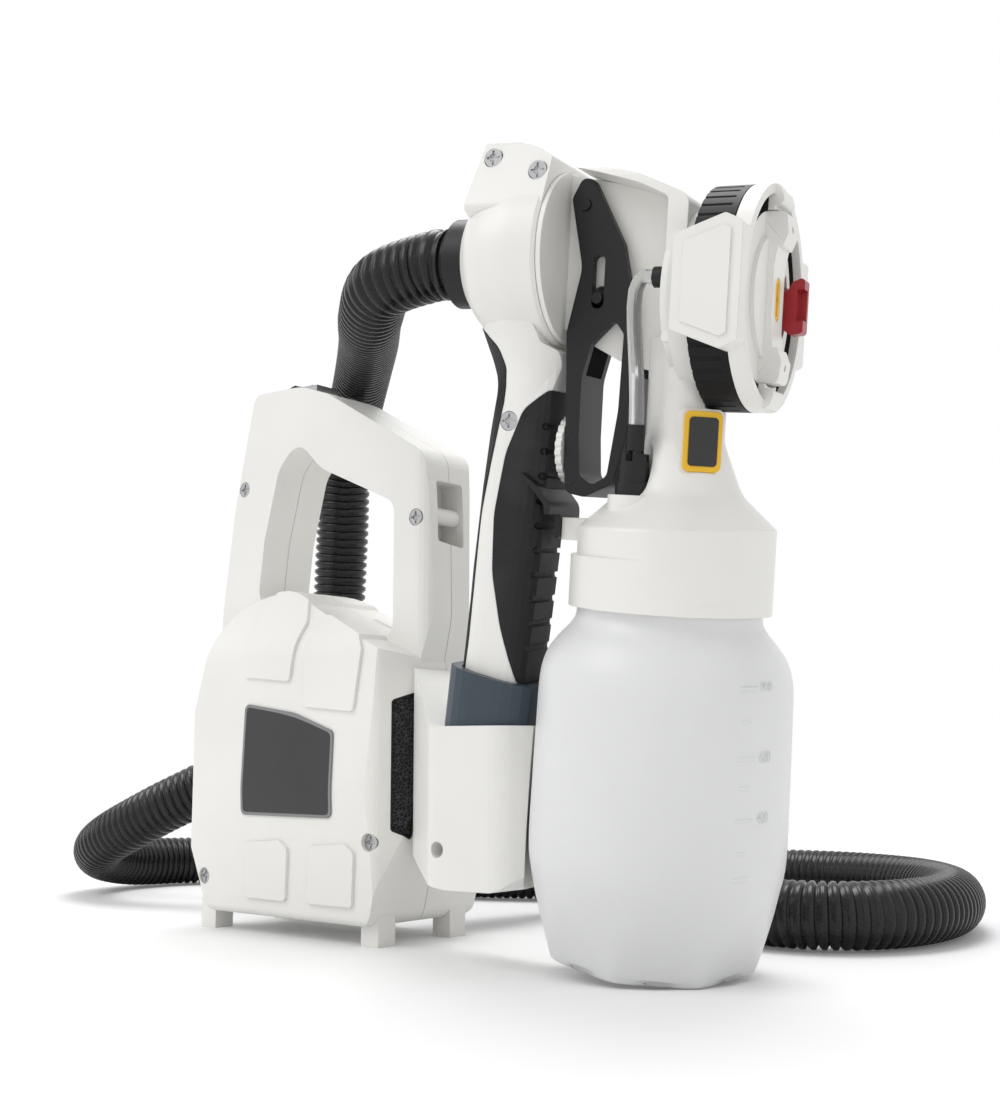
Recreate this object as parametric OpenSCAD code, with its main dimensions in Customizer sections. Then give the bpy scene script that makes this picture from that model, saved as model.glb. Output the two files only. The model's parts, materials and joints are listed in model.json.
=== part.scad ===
/* [Turbine housing] */
// Width of the turbine housing at its seam
housing_w = 154; // [140:1:180]
// Width of the flat front face
front_w = 130; // [110:1:134]
// Depth of the housing, front to back
housing_d = 76; // [68:1:92]
// Depth of the carrying handle and its legs
handle_d = 34; // [28:1:40]
// Height of the body's left shoulder
shoulder_left_h = 168; // [155:1:180]
// Height of the body's right shoulder
shoulder_right_h = 130; // [118:1:140]
// Height of the handle's left end
handle_left_h = 275; // [250:1:300]
// Height of the handle's right end
handle_right_h = 228; // [214:1:246]
// Wall of the housing shells
shell_wall = 2.6; // [2:0.1:3.2]
// Height of the feet
foot_h = 9; // [7:0.5:12]
// Side of a foot
foot_w = 11; // [9:0.5:14]
// Distance between foot centres, left to right
foot_span_x = 115; // [100:1:120]
// Distance between foot centres, front to back
foot_span_y = 48; // [40:1:54]

/* [Motor and fan] */
// Radius of the fan motor
motor_r = 25; // [20:0.5:27]
// Length of the fan motor
motor_l = 30; // [24:0.5:34]
// Radius of the fan wheel
fan_r = 40; // [32:0.5:42]
// Width of the fan wheel
fan_l = 12; // [9:0.5:14]
// Number of fan blades
fan_blades = 9; // [7:1:11]
// Radius of the motor shaft
shaft_r = 3; // [2.5:0.1:4]

/* [Gun pose] */
// Turn of the docked gun about the vertical
gun_heading = 15; // [10:1:18]
// Nose-down pitch of the docked gun
gun_pitch = 7; // [5:0.5:8]
// Lean of the docked gun towards the front
gun_roll = 8; // [6:0.5:9]
// Sideways distance from the turbine's centre to the container
container_x = 197; // [195:1:200]

/* [Gun] */
// Height of the nozzle axis above the container's base
nozzle_axis_h = 259; // [256:1:262]
// Radius of the gun's barrel drum
drum_r = 36; // [34:0.5:38]
// Width of the gun's handle
grip_w = 30; // [27:0.5:32]
// Wall of the gun's shells
gun_wall = 2.6; // [2:0.1:3]
// Outer radius of the hose cuff on the gun
cuff_r = 18.5; // [17:0.5:20]

/* [Nozzle] */
// Outer radius of the union nut
nut_r = 43; // [41:0.5:45]
// Radius of the air cap
air_cap_r = 33; // [31:0.5:34]
// Radius of the nozzle tip
tip_r = 7.3; // [6:0.1:8.5]
// Radius of the paint needle
needle_r = 2.2; // [1.8:0.1:2.6]

/* [Container] */
// Greatest radius of the container
container_r = 51; // [49:0.5:52]
// Height of the container up to its neck
container_h = 137; // [134:1:138]
// Wall of the container
container_wall = 1.8; // [1.4:0.1:2.4]
// Outer radius of the container's neck
neck_r = 36.5; // [35:0.5:37.5]
// Outer radius of the collar that the container screws into
collar_r = 40; // [39.5:0.5:42]

/* [Air hose] */
// Outer diameter of the corrugated air hose
hose_d = 30; // [28:1:31]

/* [Hidden] */

$fn = 64;
arc_steps = 6;
overlap = 0.02;
clearance = 0.3;
// Place of the overall box's centre, so that the origin lies under it
origin_x = 104;
origin_y = -21;

WHITE = [0.90, 0.89, 0.86];
BLACK = [0.07, 0.07, 0.08];
SLATE = [0.17, 0.22, 0.26];
STEEL = [0.62, 0.63, 0.64];
YELLOW = [0.95, 0.66, 0.05];
RED = [0.62, 0.08, 0.09];
MILKY = [0.88, 0.89, 0.90];
CLEAR = [0.75, 0.77, 0.78];

// ---- plane geometry helpers ----
function unit(v) = v / norm(v);
function normal_in(a, b) = [a[1] - b[1], b[0] - a[0]] / norm(b - a);
function xy(p) = [p[0], p[1]];
function turn(u, v) = u[0] * v[1] - u[1] * v[0];
// Corner b of a counter-clockwise outline, moved inwards by d
function inset_corner(a, b, c, d) =
    let (n1 = normal_in(a, b), n2 = normal_in(b, c)) b + (n1 + n2) * d / (1 + n1 * n2);
function inset_outline(pts, d) = [for (i = [0 : len(pts) - 1])
    let (a = pts[(i + len(pts) - 1) % len(pts)], b = pts[i], c = pts[(i + 1) % len(pts)])
    let (q = inset_corner(xy(a), xy(b), xy(c), d))
    let (outward = turn(xy(b) - xy(a), xy(c) - xy(b)) > 0)
    [q[0], q[1], max(0.4, outward ? b[2] - d : b[2] + d)]];
// Points of the arc of radius r that rounds corner b
function corner_arc(a, b, c, r) =
    let (u = unit(a - b), v = unit(c - b), half = acos(u * v) / 2)
    let (centre = b + unit(u + v) * r / sin(half))
    let (from = b + u * r / tan(half) - centre, sweep = 180 - 2 * half)
    let (way = turn(u, v) > 0 ? -1 : 1)
    [for (i = [0 : arc_steps]) let (t = way * sweep * i / arc_steps)
        centre + [from[0] * cos(t) - from[1] * sin(t), from[0] * sin(t) + from[1] * cos(t)]];
function rounded(pts) = [for (i = [0 : len(pts) - 1])
    let (a = pts[(i + len(pts) - 1) % len(pts)], b = pts[i], c = pts[(i + 1) % len(pts)])
    each corner_arc(xy(a), xy(b), xy(c), b[2])];

// Extrudes an outline in X and Z between two values of Y
module slab_y(y0, y1) translate([0, y1, 0]) rotate([90, 0, 0]) linear_extrude(y1 - y0) children();
// Extrudes an outline in Y and Z between two values of X
module slab_x(x0, x1) translate([x0, 0, 0]) rotate([90, 0, 90]) linear_extrude(x1 - x0) children();
// A rod along X, or along Y
module rod_x(x0, x1, r) translate([x0, 0, 0]) rotate([0, 90, 0]) cylinder(h = x1 - x0, r = r);
module rod_y(y0, y1, r) translate([0, y1, 0]) rotate([90, 0, 0]) cylinder(h = y1 - y0, r = r);
module box(a, b) translate(a) cube(b - a);

// ---- frames ----
module in_frame() translate([-origin_x, -origin_y, 0]) children();
base_drop = 7.8;
container_y = -10;
module in_gun() in_frame() translate([container_x, container_y, base_drop])
    rotate([gun_roll, gun_pitch, gun_heading]) children();

// ---- turbine housing ----
half_w = housing_w / 2;
base_z = foot_h;
body_outline = [[-52, base_z, 8], [62, base_z, 8], [half_w - 2, 60, 60], [half_w, shoulder_right_h, 6],
    [44, 144, 60], [-20, shoulder_left_h + 3, 50], [-52, shoulder_left_h - 10, 20], [2 - half_w, 66, 60]];
body_plan = [[-front_w / 2, -housing_d / 2, 9], [front_w / 2, -housing_d / 2, 9], [half_w, -14, 14],
    [half_w, 14, 14], [front_w / 2, housing_d / 2, 9], [-front_w / 2, housing_d / 2, 9],
    [-half_w, 14, 14], [-half_w, -14, 14]];
body_side = [[-housing_d / 2 + 3, base_z, 4], [housing_d / 2 - 3, base_z, 4], [housing_d / 2, 70, 60],
    [housing_d / 2 - 3, 138, 26], [handle_d / 2 - 4, shoulder_left_h + 8, 5],
    [4 - handle_d / 2, shoulder_left_h + 8, 5], [3 - housing_d / 2, 138, 26], [-housing_d / 2, 70, 60]];
// The carrying handle: outside and inside of the loop
loop_outline = [[-70, 100, 4], [half_w - 8, 100, 4], [half_w + 3, 150, 40], [half_w + 2, 200, 40],
    [half_w, handle_right_h, 13], [10, handle_left_h - 8, 60], [-10, handle_left_h - 1, 40],
    [-46, handle_left_h, 6], [-60, 215, 60], [-68, 160, 40]];
loop_opening = [[-40, 164, 8], [58, 138, 8], [58, 206, 8], [6, 229, 26], [-12, 246, 10], [-26, 232, 14],
    [-36, 196, 40]];

module loop_form(d) intersection() {
    slab_y(d - handle_d / 2, handle_d / 2 - d) difference() {
        polygon(rounded(inset_outline(loop_outline, d)));
        if (d == 0) polygon(rounded(loop_opening));
    }
    linear_extrude(400) polygon(rounded(inset_outline([[-100, -handle_d / 2, 9], [half_w + 4, -handle_d / 2, 9],
        [half_w + 4, handle_d / 2, 9], [-100, handle_d / 2, 9]], d)));
}
module body_form(d) intersection() {
    slab_y(-housing_d, housing_d) polygon(rounded(inset_outline(body_outline, d)));
    linear_extrude(400) polygon(rounded(inset_outline(body_plan, d)));
    slab_x(-housing_w, housing_w) polygon(rounded(inset_outline(body_side, d)));
}
// Raised pads on the front and back faces
pad_low = [[-22, 17.5, 2], [8, 17.5, 2], [10, 42, 2], [4, 46, 2], [-20, 44, 2]];
pad_high = [[-26, 124, 2], [8, 121, 2], [12, 150, 2], [2, 168, 2], [-22, 168, 2], [-27, 150, 2]];
pad_gap = 45;
pad_rise = 1.6;
module pads() for (side = [-1, 1]) for (x = [0, pad_gap]) intersection() {
    slab_y(side > 0 ? 2 : -60, side > 0 ? 60 : -2) translate([x, 0]) union() {
        polygon(rounded(pad_low));
        polygon(rounded([for (p = pad_high) [p[0], p[1] - x * 0.34, p[2]]]));
    }
    body_form(-pad_rise);
}
filter_side = [[-29, 52, 2], [-17, 47, 2], [-15, 116, 2], [-29, 111, 2]];
window_side = [[-9, 186, 1.5], [9, 184, 1.5], [9, 215, 1.5], [-9, 215, 1.5]];
window_depth = 14;
switch_x = -22;
switch_z = handle_left_h - 1;
switch_tilt = 3;
screw_sites = [[-53, 225], [72, 197], [-54, 26], [63, 47]];
screw_y = [-handle_d / 2, -handle_d / 2, -35, -35];
outlet_x = 40;
outlet_z = 48;
outlet_r = 17;
inlet_x = -45;
inlet_z = 34;
inlet_r = 6;
seam = 0.15;

module switch_place() translate([switch_x, 0, switch_z]) rotate([0, switch_tilt, 0]) children();
module housing() difference() {
    union() {
        body_form(0);
        loop_form(0);
        pads();
        for (sx = [-1, 1]) for (sy = [-1, 1])
            translate([sx * foot_span_x / 2, sy * foot_span_y / 2, 0])
                box([-foot_w / 2, -foot_w / 2, 0], [foot_w / 2, foot_w / 2, base_z + 6]);
    }
    body_form(shell_wall);
    slab_x(half_w - 16, half_w + 5) polygon(rounded(filter_side));
    slab_x(half_w - window_depth + 2, half_w + 5) polygon(rounded(window_side));
    switch_place() box([-14, -8, -18], [14, 8, 5]);
    translate([outlet_x, 0, outlet_z]) rod_y(20, housing_d, outlet_r + clearance);
    translate([inlet_x, 0, inlet_z]) rod_y(20, housing_d, inlet_r + clearance);
    for (i = [0 : len(screw_sites) - 1])
        translate([screw_sites[i][0], screw_y[i], screw_sites[i][1]]) screw_hole(-20);
}
module front_shell() color(WHITE) in_frame() intersection() {
    housing();
    box([-200, -100, -1], [200, -seam, 400]);
}
module rear_shell() color(WHITE) in_frame() intersection() {
    housing();
    box([-200, seam, -1], [200, 100, 400]);
}
// A round-head screw with a cross recess, its head facing -Y, and the stepped hole that it sits in
screw_r = 3.8;
shank_r = 1.7;
screw_l = 7;
screw_head = 2;
module screw_front(r, l) {
    difference() {
        rod_y(0.2, screw_head, r);
        rod_y(-1, 0.8, r * 0.45);
        box([-r * 0.75, -1, -r * 0.12], [r * 0.75, 1.1, r * 0.12]);
        box([-r * 0.12, -1, -r * 0.75], [r * 0.12, 1.1, r * 0.75]);
    }
    rod_y(screw_head - overlap, l, shank_r);
}
module screw_hole(y0) {
    rod_y(y0, screw_head, screw_r + 0.2);
    rod_y(screw_head - 1, screw_l + 0.5, shank_r + 0.05);
}
module shell_screws() color(STEEL) in_frame() for (i = [0 : len(screw_sites) - 1])
    translate([screw_sites[i][0], screw_y[i], screw_sites[i][1]]) screw_front(screw_r, screw_l);

plate_outline = [[-24, 57, 3], [40, 57, 3], [40, 97, 3], [12, 106, 30], [-24, 111, 3]];
module label_plate() color(BLACK) in_frame() intersection() {
    slab_y(-60, -20) polygon(rounded(plate_outline));
    difference() {
        body_form(-0.9);
        body_form(-0.02);
    }
}
module switch_bezel() color(STEEL) in_frame() switch_place() difference() {
    box([-13.6, -7.6, -8], [13.6, 7.6, 3.4]);
    box([-11, -5.6, -9], [11, 5.6, 4]);
    rocker_pins(1.75, 6.9);
}
rocker_r = 26;
rocker_tilt = 5;
module rocker_pins(r, reach) rod_y(-reach, reach, r);
module power_switch() color(BLACK) in_frame() switch_place() rotate([0, rocker_tilt, 0]) difference() {
    union() {
        intersection() {
            box([-10.4, -5.2, -6], [10.4, 5.2, 8]);
            translate([0, 0, 6 - rocker_r]) rod_y(-6, 6, rocker_r);
        }
        rocker_pins(1.5, 6.7);
    }
    translate([0, 0, rocker_r + 4.2]) rod_y(-6, 6, rocker_r);
}
module filter_foam() color(BLACK) in_frame() intersection() {
    slab_x(half_w - 14, half_w + 5) polygon(rounded(inset_outline(filter_side, 1.4)));
    body_form(1.4);
}
module filter_frame() color(BLACK) in_frame() intersection() {
    slab_x(half_w - 14, half_w + 5) difference() {
        polygon(rounded(inset_outline(filter_side, 0.1)));
        polygon(rounded(inset_outline(filter_side, 1.3)));
    }
    body_form(0.6);
}
module strap_pin() color(WHITE) in_frame() translate([half_w - 4, 0, 199]) rod_y(-8.9, 8.9, 4);

// ---- motor and fan, inside the housing ----
motor_z = 88;
module motor() color(STEEL) in_frame() translate([-6, 0, motor_z]) difference() {
    union() {
        rod_y(-motor_l + 16, 16, motor_r);
        rod_y(16 - overlap, 19, 9);
    }
    rod_y(-motor_l, 30, shaft_r + 0.1);
}
module motor_bracket() color(BLACK) in_frame() translate([-6, 0, motor_z]) difference() {
    union() {
        rod_y(-10, 4, motor_r + 4);
        box([-59.5, -8, -6], [78.6, 2, 6]);
    }
    rod_y(-20, 20, motor_r + 0.05);
}
module fan_wheel() color(WHITE) in_frame() translate([-6, 0, motor_z]) {
    rod_y(-20, 32, shaft_r);
    difference() {
        union() {
            rod_y(20.5, 32, 8);
            rod_y(20.5, 22.5, fan_r);
            for (i = [0 : fan_blades - 1]) rotate([0, i * 360 / fan_blades, 0])
                box([6, 22, -1], [fan_r, 20.5 + fan_l, 1]);
        }
        rod_y(0, 40, shaft_r - 0.05);
    }
}
module hose_outlet() color(BLACK) in_frame() translate([outlet_x, 0, outlet_z]) difference() {
    union() {
        rod_y(30, housing_d / 2 + 14, outlet_r);
        rod_y(housing_d / 2 + 0.2, housing_d / 2 + 3, outlet_r + 2.5);
    }
    rod_y(29, 90, outlet_r - 3);
}
module mains_inlet() color(BLACK) in_frame() translate([inlet_x, 0, inlet_z]) difference() {
    union() {
        rod_y(30, housing_d / 2 + 6, inlet_r);
        rod_y(housing_d / 2 + 0.2, housing_d / 2 + 2, inlet_r + 2);
    }
    rod_y(29, 60, 3.6);
}

// ---- gun holder on the turbine's right side ----
holder_plan = [[half_w - 1, -21, 1], [124, -62, 9], [158, -58, 12], [170, -34, 14], [152, -14, 12], [half_w - 1, 6, 1]];
holder_low = 32;
holder_side = [[half_w - 1, 41, 1], [132, holder_low, 8], [156, holder_low, 9], [172, 46, 6], [172, 98, 1],
    [122, 98, 4], [96, 117, 4], [half_w - 1, 126, 1]];
module handle_frame() translate([container_x, container_y, base_drop])
    rotate([gun_roll, gun_pitch, gun_heading]) children();
seat_gap = 0.3;
ring_gap = 1;
module holder_form(d) intersection() {
    linear_extrude(200) polygon(rounded(inset_outline(holder_plan, d)));
    slab_y(-100, 100) polygon(rounded(inset_outline(holder_side, d)));
}
module gun_holder() color(WHITE) in_frame() difference() {
    holder_form(0);
    handle_frame() grip_form(-seat_gap);
    handle_frame() cylinder(h = 160, r = container_r + 1);
    body_form(-0.05);
    loop_form(-0.05);
    translate([128, -100, 48]) rod_y(-60, 48, 3.2);
}
ring_wall = 5;
module holder_ring() color(SLATE) in_frame() difference() {
    intersection() {
        handle_frame() grip_form(-ring_wall);
        handle_frame() slab_y(-40, 40) translate([-74.5, -10]) polygon(rounded([[-30, 103, 1.5],
            [-4, 84, 3], [30, 86, 2], [30, 111, 1.5], [-30, 122, 1.5]]));
    }
    handle_frame() grip_form(-ring_gap);
    holder_form(-0.15);
}

// ---- gun: rear half, in the gun's own frame ----
drum_z = nozzle_axis_h + 17;
drum_back = -90.5;
drum_front = -50.5;
grip_x = -68.6;
grip_lean = 4.4;
grip_outline = [[-87.5, 52, 4], [-61, 52, 4], [-57.3, 103, 60], [-55.2, 125, 60], [-52.9, 155, 60], [-52.3, 175, 40],
    [-51, 190, 40], [-50.4, 221, 12], [-47, 233, 8], [-47.6, 238.2, 2], [-53, 241, 2], [-60, 262, 4], [-89, 262, 2],
    [-87, 248.5, 4], [-79.8, 238.5, 20], [-73, 225, 16], [-77, 202, 60], [-82.4, 165, 80], [-82.4, 135, 60]];
module grip_form(d) intersection() {
    slab_y(-30, 30) polygon(rounded(inset_outline(grip_outline, d)));
    translate([grip_x, 0, 140]) rotate([0, grip_lean, 0]) translate([0, 0, -140])
        linear_extrude(280) polygon(rounded(inset_outline([[-16, -grip_w / 2, 11], [16, -grip_w / 2, 11],
            [16, grip_w / 2, 11], [-16, grip_w / 2, 11]], d)));
}
// The neck flares from the grip's width into the drum: radius, height
neck_x = -62;
neck_profile = [[-10, 196, 0.4], [grip_w / 2, 196, 0.4], [grip_w / 2 + 0.3, 216, 40], [grip_w / 2 + 3.2, 234, 30],
    [grip_w / 2 + 10, 251, 2], [-10, 251, 0.4]];
module neck_form(d) intersection() {
    slab_y(-30, 30) polygon(rounded(inset_outline(grip_outline, d)));
    translate([neck_x, 0, 0]) turned(inset_outline(neck_profile, d));
}
module handle_form(d) {
    grip_form(d);
    neck_form(d);
}
// Half section of the drum: distance along the gun, radius
drum_profile = [[drum_back, -10, 0.4], [drum_front, -10, 0.4], [drum_front, drum_r - 1.2, 0.5],
    [drum_front + 1 - 2.4, drum_r, 1], [-66, drum_r, 30], [-82, drum_r - 4, 20], [drum_back, 21, 6]];
module drum_form(d) translate([0, 0, drum_z]) rotate([0, 90, 0])
    rotate_extrude() rotate(90) mirror([0, 1]) polygon([for (p = rounded(inset_outline(drum_profile, d)))
        [p[0], max(0, p[1])]]);
hood_outline = [[-85.5, 284, 8], [drum_front, 284, 1], [drum_front, 313.5, 2], [-57, 317.5, 20], [-71, 322, 12],
    [-81, 322.5, 4]];
hood_section = [[-31, 293, 2], [-12, 282, 2], [12, 282, 2], [31, 293, 2], [18, 323.5, 7], [-18, 323.5, 7]];
module hood_form(d) intersection() {
    slab_y(-40, 40) polygon(rounded(inset_outline(hood_outline, d)));
    slab_x(-100, -40) polygon(rounded(inset_outline(hood_section, d)));
}
// Where the rubber lies, seen from the side
grip_front_outline = [[-59, 103, 3], [-40, 98, 2], [-40, 223, 2], [-51, 222.5, 4], [-61, 214.5, 12], [-68, 197, 30],
    [-72, 172, 40], [-71.5, 148, 40], [-67, 127, 60]];
grip_back_outline = [[-100, 80, 2], [-85, 88, 4], [-81.7, 119, 60], [-79.5, 171, 60], [-75, 193, 40], [-70, 217, 20],
    [-68.8, 231, 8], [-72.5, 239.5, 10], [-80, 245.5, 8], [-86, 249, 1], [-100, 251, 2]];
gun_screw_sites = [[-76.5, 314], [-55.5, 307.5], [-67.4, 209.8]];
gun_screw_y = [-22.6, -25.2, -14.9];
rubber = 1.4;
module gun_rear() difference() {
    union() {
        handle_form(0);
        drum_form(0);
        hood_form(0);
    }
    drum_form(gun_wall);
    hood_form(gun_wall);
    handle_form(gun_wall + rubber);
    translate([0, 0, drum_z]) rod_x(drum_back - 5, drum_back + 20, cuff_r - 2);
    translate([0, 0, drum_z]) rod_x(drum_front - 5, drum_front + 5, drum_r - 4);
    for (o = [grip_front_outline, grip_back_outline]) difference() {
        slab_y(-30, 30) polygon(rounded(o));
        handle_form(rubber);
        if (o == grip_back_outline) drum_form(0);
    }
    for (i = [0 : len(gun_screw_sites) - 1])
        translate([gun_screw_sites[i][0], gun_screw_y[i], gun_screw_sites[i][1]]) screw_hole(-20);
}
module handle_shell_right() color(WHITE) in_gun() intersection() {
    gun_rear();
    box([-150, -60, 0], [0, -seam, 400]);
}
module handle_shell_left() color(WHITE) in_gun() intersection() {
    gun_rear();
    box([-150, seam, 0], [0, 60, 400]);
}
module handle_screws() color(STEEL) in_gun() for (i = [0 : len(gun_screw_sites) - 1])
    translate([gun_screw_sites[i][0], gun_screw_y[i], gun_screw_sites[i][1]]) screw_front(screw_r, screw_l);
module rubber_skin(o, proud) intersection() {
    slab_y(-30, 30) polygon(rounded(inset_outline(o, 0.15)));
    difference() {
        handle_form(-proud);
        handle_form(rubber - 0.05);
    }
}
module grip_front() color(BLACK) in_gun() difference() {
    rubber_skin(grip_front_outline, 0.3);
    // Finger grooves across the front of the grip
    for (z = [118 : 10 : 208]) translate([-51.4 - (208 - z) * 0.045, 0, z]) rotate([0, -18, 0]) rod_y(-20, 20, 1.5);
}
module grip_back() color(BLACK) in_gun() difference() {
    rubber_skin(grip_back_outline, 0.3);
    drum_form(-0.1);
}
cuff_l = 9.5;
module hose_cuff() color(BLACK) in_gun() translate([0, 0, drum_z]) difference() {
    union() {
        rod_x(drum_back - cuff_l, drum_back + 4, cuff_r - 2.2);
        rod_x(drum_back - cuff_l, drum_back - 0.3, cuff_r);
    }
    rod_x(drum_back - cuff_l - 1, drum_back - 3, hose_d / 2 + 0.6);
    rod_x(drum_back - cuff_l - 1, drum_back + 5, hose_d / 2 - 3);
}

// ---- gun: front half ----
core_y = 7;
front_half_y = 27;
ring_r = 34.8;
ring_front = -48.2;
wall_x = 0;
barrel_r = 31;
boss_r = 35.4;
pivot = [-40, 296];
collar_base = 138;
collar_top = 172;
column_x = 2.5;
column_r = 15.5;
arm_inner = core_y + 1.2;
arm_outer = 12;
needle_z = nozzle_axis_h;
// Side view of the front half: roof, front wall and core plate
core_outline = [[ring_front - 1, 248, 1], [-22, 234, 8], [wall_x + 1, 228, 2], [wall_x + 1, 298, 2], [-29, 305, 30],
    [ring_front - 1, 309, 1]];
roof_outline = [[-40, 308, 1], [-29, 305, 20], [-12, 300, 20], [wall_x, 294.5, 3], [wall_x, 240, 1], [8, 240, 1],
    [8, 294.5, 5], [-2, 299, 20], [-12, 303.3, 20], [-29, 308.2, 20], [-40, 310.8, 1]];
front_section = [[-front_half_y, 225, 14], [front_half_y, 225, 14], [front_half_y, 310, 9], [-front_half_y, 310, 9]];
flare = [[0, 150, 0.4], [collar_r, 150, 0.4], [collar_r, collar_top - 3, 3], [column_r + 8, collar_top + 12, 16],
    [column_r, 204, 14], [column_r, 244, 0.4], [0, 244, 0.4]];
module front_body() color(WHITE) in_gun() difference() {
    union() {
        translate([0, 0, drum_z]) difference() {
            rod_x(drum_front + 0.3, ring_front, ring_r);
            rod_x(drum_front - 1, drum_front + 2, ring_r - 6);
        }
        slab_y(-core_y, core_y) polygon(rounded(core_outline));
        intersection() {
            slab_y(-40, 40) polygon(rounded(roof_outline));
            slab_x(-60, 20) polygon(rounded(front_section));
        }
        translate([0, 0, nozzle_axis_h]) {
            rod_x(wall_x, 9, barrel_r);
            rod_x(4, 24, boss_r);
        }
        intersection() {
            translate([column_x, 0, 0]) rotate_extrude() polygon([for (p = rounded(flare)) [max(0, p[0]), p[1]]]);
            cylinder(h = 400, r = collar_r);
            // Room for the union nut in front of the column
            difference() {
                cylinder(h = 400, r = collar_r + 5);
                translate([0, 0, nozzle_axis_h]) rod_x(nut_back - 0.6, 60, nut_r + 0.6);
            }
        }
        translate([0, 0, collar_base]) cylinder(h = 20, r = collar_r);
        box([-45, -7, 163], [-34, 7, 172]);
        on_pad() pad_slab(17, 25, -plate_face, -8);
        translate([valve[0], valve[1], 160]) cylinder(h = 22, r = 9.5);
    }
    translate([0, 0, collar_base - 1]) cylinder(h = 15, r = neck_r + clearance);
    translate([0, 0, needle_z]) rod_x(-60, 30, needle_r + 0.4);
    translate([0, 0, needle_z]) rod_x(8, 30, 9);
    translate([0, 0, 120]) cylinder(h = 110, r = 3.2);
    translate([pivot[0], 0, pivot[1]]) rod_y(-20, 20, 2.55);
    translate([needle_pin_x, 0, needle_z]) rod_y(-30, 30, 5.5);
    translate([valve[0], valve[1], 145]) cylinder(h = 40, r = 2.5);
    translate([valve[0], valve[1], 182]) cylinder(h = 40, r = 7.1);
    on_pad() pad_slab(15.2, 23.2, -40, -plate_face);
    translate([0, vent_port[0], vent_port[1]]) rod_x(-1, 4.5, 2.6);
    translate([0, 0, rest_screw_z]) rod_x(-60, -38, 1.65);
}
// Trigger: a fork above, one closed loop below
trigger_outline = [[-42.6, 182, 4], [-34, 180.5, 3], [-22.5, 186, 6], [-17.5, 205, 20], [-16.5, 240, 30], [-18.8, 262, 12],
    [-22.8, 280, 12], [-36.6, 305.6, 3], [-41.4, 306.6, 3], [-45.6, 298.5, 3], [-39.8, 271, 14], [-45.2, 246, 14], [-43.8, 215, 40]];
trigger_hole = [[-36.8, 189, 4], [-31, 185.5, 3], [-25, 189, 4], [-21.5, 215, 30], [-20.8, 245, 3], [-25, 250.5, 2],
    [-34.5, 241, 5], [-37.8, 228, 20], [-37.8, 205, 20]];
fork_z = 229;
needle_pin_x = -32.7;
pin_slot = [[needle_pin_x - 2.5, 255, 2.3], [needle_pin_x + 2.5, 255, 2.3], [needle_pin_x + 2.5, 276, 2.3],
    [needle_pin_x - 2.5, 276, 2.3]];
module trigger() color(BLACK) in_gun() difference() {
    slab_y(-arm_outer, arm_outer) polygon(rounded(trigger_outline));
    slab_y(-30, 30) polygon(rounded(trigger_hole));
    box([-70, -arm_inner, fork_z], [0, arm_inner, 320]);
    translate([pivot[0], 0, pivot[1]]) rod_y(-40, 40, 2.55);
    slab_y(-40, 40) polygon(rounded(pin_slot));
    translate([0, 0, dial_z]) rod_x(-60, -38.5, 2.1);
}
module trigger_pin() color(STEEL) in_gun() translate([pivot[0], 0, pivot[1]]) {
    rod_y(-arm_outer - 0.8, arm_outer + 0.8, 2.5);
}
dial_z = 199.5;
module volume_dial() color(WHITE) in_gun() translate([0, 0, dial_z]) difference() {
    union() {
        rod_x(-46.9, -44.2, 14.2);
        rod_x(-44.5, -39, 2);
    }
    for (i = [0 : 23]) rotate([i * 15, 0, 0]) translate([0, 0, 14.7]) rod_x(-48, -43, 1.1);
}
module needle() color(STEEL) in_gun() translate([0, 0, needle_z]) {
    rod_x(-41, 26.9, needle_r);
    translate([needle_pin_x, 0, 0]) rod_y(-arm_outer - 1, arm_outer + 1, 2.2);
}
module nozzle_seat() color(STEEL) in_gun() translate([0, 0, needle_z]) difference() {
    union() {
        rod_x(12, 22, 8.9);
        rod_x(22 - overlap, 27, 5);
    }
    rod_x(10, 30, needle_r + 0.15);
}
module about_nozzle() in_gun() translate([0, 0, nozzle_axis_h]) children();
nut_back = 14;
ring_back = 28.9;
cap_back = 29.3;
module union_nut() color(BLACK) about_nozzle() difference() {
    union() {
        rod_x(nut_back, ring_back - 0.4, nut_r);
    }
    rod_x(nut_back - 1, 24.3, boss_r + clearance);
    rod_x(20, 40, air_cap_r + 0.4);
    for (i = [0 : 47]) rotate([i * 7.5, 0, 0]) translate([0, 0, nut_r + 0.4]) rod_x(nut_back - 0.5, ring_back - 3, 0.9);
}
wing_outline = [[10, -17, 2], [29, -24, 2], [35.5, -21, 2], [35.5, 21, 2], [29, 24, 2], [10, 17, 2]];
wing_y = 4.5;
module adjusting_ring() color(WHITE) about_nozzle() difference() {
    union() {
        rod_x(ring_back, ring_back + 6.6, nut_r);
        for (side = [0, 180]) rotate([side, 0, 0]) {
            slab_y(-nut_r - wing_y, -30) polygon(rounded(wing_outline));
            slab_y(-nut_r - wing_y - 0.8, -nut_r) polygon(rounded(inset_outline(wing_outline, 4)));
        }
        // Two lugs on the rim hold the air cap's ends
        for (side = [0, 180]) rotate([side, 0, 0])
            slab_y(-8, 8) polygon(rounded([[ring_back + 3, 33.5, 1], [ring_back + 10.5, 35, 2],
                [ring_back + 8.5, nut_r - 1.5, 3], [ring_back + 3, nut_r - 0.5, 1]]));
    }
    rod_x(0, ring_back, nut_r + 1);
    rod_x(20, ring_back + 4, nut_r - 3.6);
    rod_x(20, 60, air_cap_r + 0.4);
    difference() {
        rod_x(20, 60, nut_r - 3.6);
        slab_y(-8, 8) polygon([[20, -60], [60, -60], [60, 60], [20, 60]]);
    }
}
module oblong(x0, x1, w, h) hull_free_oblong(x0, x1, w / 2, h / 2);
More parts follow.
